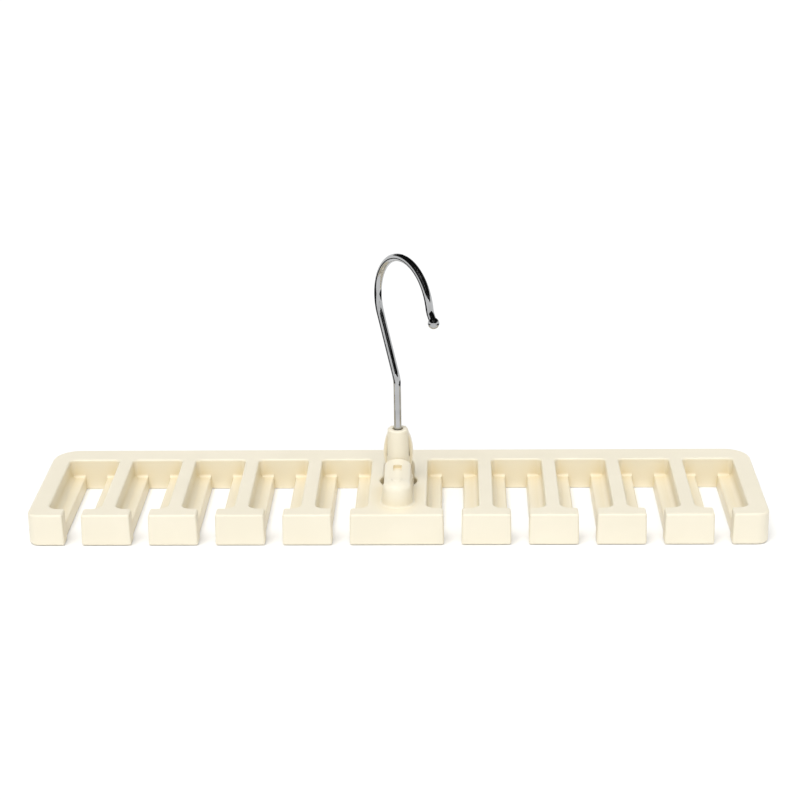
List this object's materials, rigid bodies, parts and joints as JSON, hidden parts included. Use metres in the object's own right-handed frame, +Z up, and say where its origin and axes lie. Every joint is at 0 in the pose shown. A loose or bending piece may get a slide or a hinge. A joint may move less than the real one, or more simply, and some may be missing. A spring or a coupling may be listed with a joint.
{
  "type": "scarf hanger",
  "caption": "Flat comb rack with open slots for scarves, hung from a fold-down stem and a swivelling wire hook with a ball tip.",
  "frame": {"origin": "centre of the flat underside of the rack, below the middle of its length and depth", "axes": "+Z up towards the hook, +X along the rack to the right as seen from the tooth heads, +Y from the tooth heads to the spine"},
  "size_m": [0.368, 0.088, 0.1388],
  "materials": {
    "ivory_plastic": "smooth moulded ivory plastic with a soft sheen",
    "chrome_wire": "bright plated wire",
    "pin_steel": "plain drawn steel"
  },
  "bodies": {
    "rack": {"rack": "ivory_plastic", "hinge_pin": "pin_steel"},
    "stem": {"stem": "ivory_plastic"},
    "hook": {"hook_wire": "chrome_wire", "retaining_ring": "pin_steel", "hook_tip": "chrome_wire"}
  },
  "joints": [
    {"name": "stem_tilt", "type": "hinge", "parent": "rack", "child": "stem", "pos_m": [0, 0.0014, 0.012], "axis": [-1, 0, 0], "range_deg": [0, 90]},
    {"name": "hook_swivel", "type": "hinge", "parent": "stem", "child": "hook", "pos_m": [0, -0.0006, 0.045], "axis": [0, 0, 1], "continuous": true}
  ]
}
